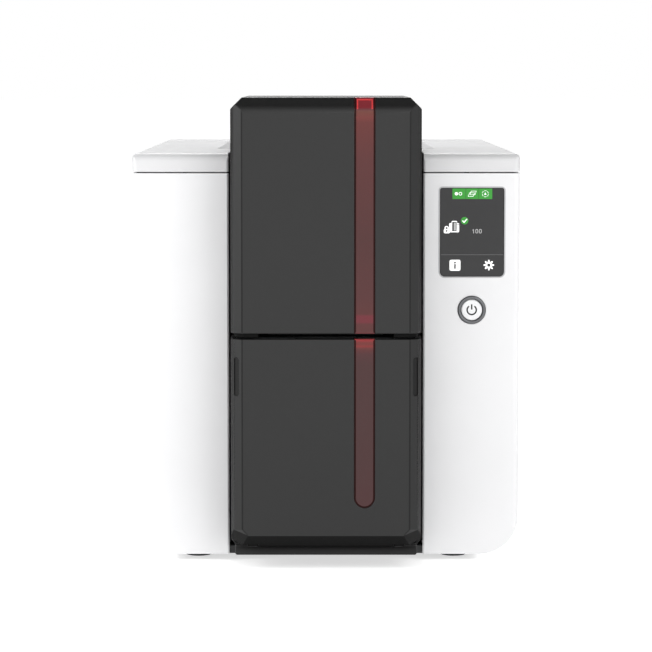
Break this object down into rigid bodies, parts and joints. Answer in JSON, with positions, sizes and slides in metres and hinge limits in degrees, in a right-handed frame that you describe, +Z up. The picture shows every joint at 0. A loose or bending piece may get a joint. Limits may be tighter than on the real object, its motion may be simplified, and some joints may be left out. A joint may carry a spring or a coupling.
{
  "type": "id card printer",
  "caption": "Desktop ID card printer: white housing with a hinged lid over the print mechanism, and a dark card column with feeder cover, output door and red light bar.",
  "frame": {"origin": "on the ground under the middle of the printer's box", "axes": "+X to the right as the user faces the screen, +Y to the back, +Z up"},
  "size_m": [0.205, 0.381, 0.2468],
  "materials": {
    "white_plastic": "fine satin moulding",
    "column_plastic": "fine grained satin moulding",
    "black_plastic": "grained moulding",
    "grey_plastic": "moulded",
    "gear_plastic": "natural acetal",
    "gauge_plastic": "moulded",
    "button_plastic": "satin lacquer",
    "red_light_bar": "translucent, smooth",
    "screen_glass": "polished",
    "dark_chrome": "dark satin plating",
    "sheet_steel": "zinc plated sheet",
    "zinc_steel": "zinc plated",
    "shaft_steel": "ground",
    "socket_tin": "tin plated",
    "motor_case": "black lacquer",
    "sink_aluminium": "extruded",
    "bronze": "sintered",
    "head_ceramic": "glazed ceramic",
    "circuit_board": "solder resist",
    "ribbon_film": "coated film",
    "foot_rubber": "moulded",
    "roller_rubber": "ground",
    "cleaning_rubber": "tacky, smooth",
    "belt_rubber": "moulded"
  },
  "bodies": {
    "printer": {"base_tray": "black_plastic", "left_shell": "white_plastic", "right_shell": "white_plastic", "rear_cover": "white_plastic", "rubber_feet": "foot_rubber", "base_screws": "zinc_steel", "output_bin": "black_plastic", "feeder_frame": "black_plastic", "card_chute": "black_plastic", "lower_guide": "black_plastic", "pinch_holders": "black_plastic", "rear_chute": "black_plastic", "chassis_left": "sheet_steel", "chassis_right": "sheet_steel", "chassis_rods": "shaft_steel", "roller_bushes": "bronze", "transport_motor": "motor_case", "ribbon_motor": "motor_case", "feed_motor": "motor_case", "drive_belt": "belt_rubber", "main_board": "circuit_board", "power_inlet": "black_plastic", "data_sockets": "socket_tin", "fan_frame": "black_plastic", "control_board": "circuit_board", "screen_glass": "screen_glass", "button_ring": "dark_chrome", "button_spring": "shaft_steel", "ribbon_cassette": "grey_plastic", "ribbon_film": "ribbon_film", "hinge_pins": "shaft_steel"},
    "lid": {"lid_shell": "white_plastic", "lid_liner": "black_plastic", "head_bracket": "sheet_steel", "print_head": "head_ceramic", "heat_sink": "sink_aluminium"},
    "feeder_cover": {"feeder_cover": "column_plastic", "upper_light_bar": "red_light_bar"},
    "output_door": {"output_door": "column_plastic", "door_liner": "black_plastic", "lower_light_bar": "red_light_bar"},
    "card_weight": {"card_weight": "grey_plastic"},
    "thickness_gauge": {"thickness_gauge": "gauge_plastic"},
    "power_button": {"power_button": "button_plastic"},
    "feed_roller": {"feed_roller": "roller_rubber"},
    "front_roller": {"front_roller": "roller_rubber"},
    "platen": {"platen_roller": "roller_rubber", "platen_shaft": "shaft_steel"},
    "rear_roller": {"rear_roller": "roller_rubber"},
    "cleaning_roller": {"cleaning_roller": "cleaning_rubber"},
    "front_pinch": {"front_pinch": "roller_rubber"},
    "rear_pinch": {"rear_pinch": "roller_rubber"},
    "motor_pulley": {"motor_pulley": "shaft_steel"},
    "supply_spool": {"supply_spool": "grey_plastic", "supply_roll": "ribbon_film"},
    "takeup_spool": {"takeup_spool": "grey_plastic", "takeup_gear": "gear_plastic"},
    "ribbon_pinion": {"ribbon_pinion": "bronze"},
    "fan_rotor": {"fan_rotor": "black_plastic"}
  },
  "joints": [
    {"name": "lid_hinge", "type": "hinge", "parent": "printer", "child": "lid", "pos_m": [0, 0.146, 0.213], "axis": [-1, 0, 0], "range_deg": [0, 75]},
    {"name": "feeder_cover_hinge", "type": "hinge", "parent": "printer", "child": "feeder_cover", "pos_m": [0, -0.064, 0.2395], "axis": [-1, 0, 0], "range_deg": [0, 95]},
    {"name": "output_door_hinge", "type": "hinge", "parent": "printer", "child": "output_door", "pos_m": [0, -0.181, 0.0155], "axis": [1, 0, 0], "range_deg": [0, 90]},
    {"name": "card_weight_slide", "type": "slide", "parent": "printer", "child": "card_weight", "axis": [0, 0, 1], "range_m": [0, 0.08]},
    {"name": "thickness_gauge_slide", "type": "slide", "parent": "printer", "child": "thickness_gauge", "axis": [1, 0, 0], "range_m": [-0.005, 0.004]},
    {"name": "power_button_press", "type": "slide", "parent": "printer", "child": "power_button", "axis": [0, 1, 0], "range_m": [0, 0.0012], "stiffness_N_per_m": 300, "deforming": ["button_spring"]},
    {"name": "feed_roller_spin", "type": "hinge", "parent": "printer", "child": "feed_roller", "pos_m": [0, -0.112, 0.1168], "axis": [1, 0, 0], "continuous": true},
    {"name": "platen_spin", "type": "hinge", "parent": "printer", "child": "platen", "pos_m": [0, 0.03, 0.10662], "axis": [1, 0, 0], "continuous": true},
    {"name": "front_roller_spin", "type": "hinge", "parent": "printer", "child": "front_roller", "pos_m": [0, -0.044, 0.10862], "axis": [1, 0, 0], "continuous": true},
    {"name": "rear_roller_spin", "type": "hinge", "parent": "printer", "child": "rear_roller", "pos_m": [0, 0.078, 0.10862], "axis": [1, 0, 0], "continuous": true},
    {"name": "motor_spin", "type": "hinge", "parent": "printer", "child": "motor_pulley", "pos_m": [0, 0.03, 0.06862], "axis": [1, 0, 0], "continuous": true},
    {"name": "cleaning_roller_spin", "type": "hinge", "parent": "printer", "child": "cleaning_roller", "pos_m": [0, -0.018, 0.12088], "axis": [1, 0, 0], "continuous": true},
    {"name": "front_pinch_spin", "type": "hinge", "parent": "printer", "child": "front_pinch", "pos_m": [0, -0.044, 0.11988], "axis": [1, 0, 0], "continuous": true},
    {"name": "rear_pinch_spin", "type": "hinge", "parent": "printer", "child": "rear_pinch", "pos_m": [0, 0.078, 0.11988], "axis": [1, 0, 0], "continuous": true},
    {"name": "takeup_spin", "type": "hinge", "parent": "printer", "child": "takeup_spool", "pos_m": [0, -0.022, 0.158], "axis": [1, 0, 0], "continuous": true},
    {"name": "supply_spin", "type": "hinge", "parent": "printer", "child": "supply_spool", "pos_m": [0, 0.084, 0.158], "axis": [1, 0, 0], "continuous": true},
    {"name": "ribbon_pinion_spin", "type": "hinge", "parent": "printer", "child": "ribbon_pinion", "pos_m": [0, -0.00562, 0.16947], "axis": [1, 0, 0], "continuous": true},
    {"name": "fan_spin", "type": "hinge", "parent": "printer", "child": "fan_rotor", "pos_m": [0.072, 0, 0.165], "axis": [0, 1, 0], "continuous": true}
  ],
  "couplings": [
    {"joint": "front_roller_spin", "follows": "platen_spin", "ratio": 1.5229},
    {"joint": "rear_roller_spin", "follows": "platen_spin", "ratio": 1.5229},
    {"joint": "motor_spin", "follows": "platen_spin", "ratio": 1.5229},
    {"joint": "ribbon_pinion_spin", "follows": "takeup_spin", "ratio": -2.5714},
    {"joint": "supply_spin", "follows": "takeup_spin", "ratio": 0.5789}
  ]
}
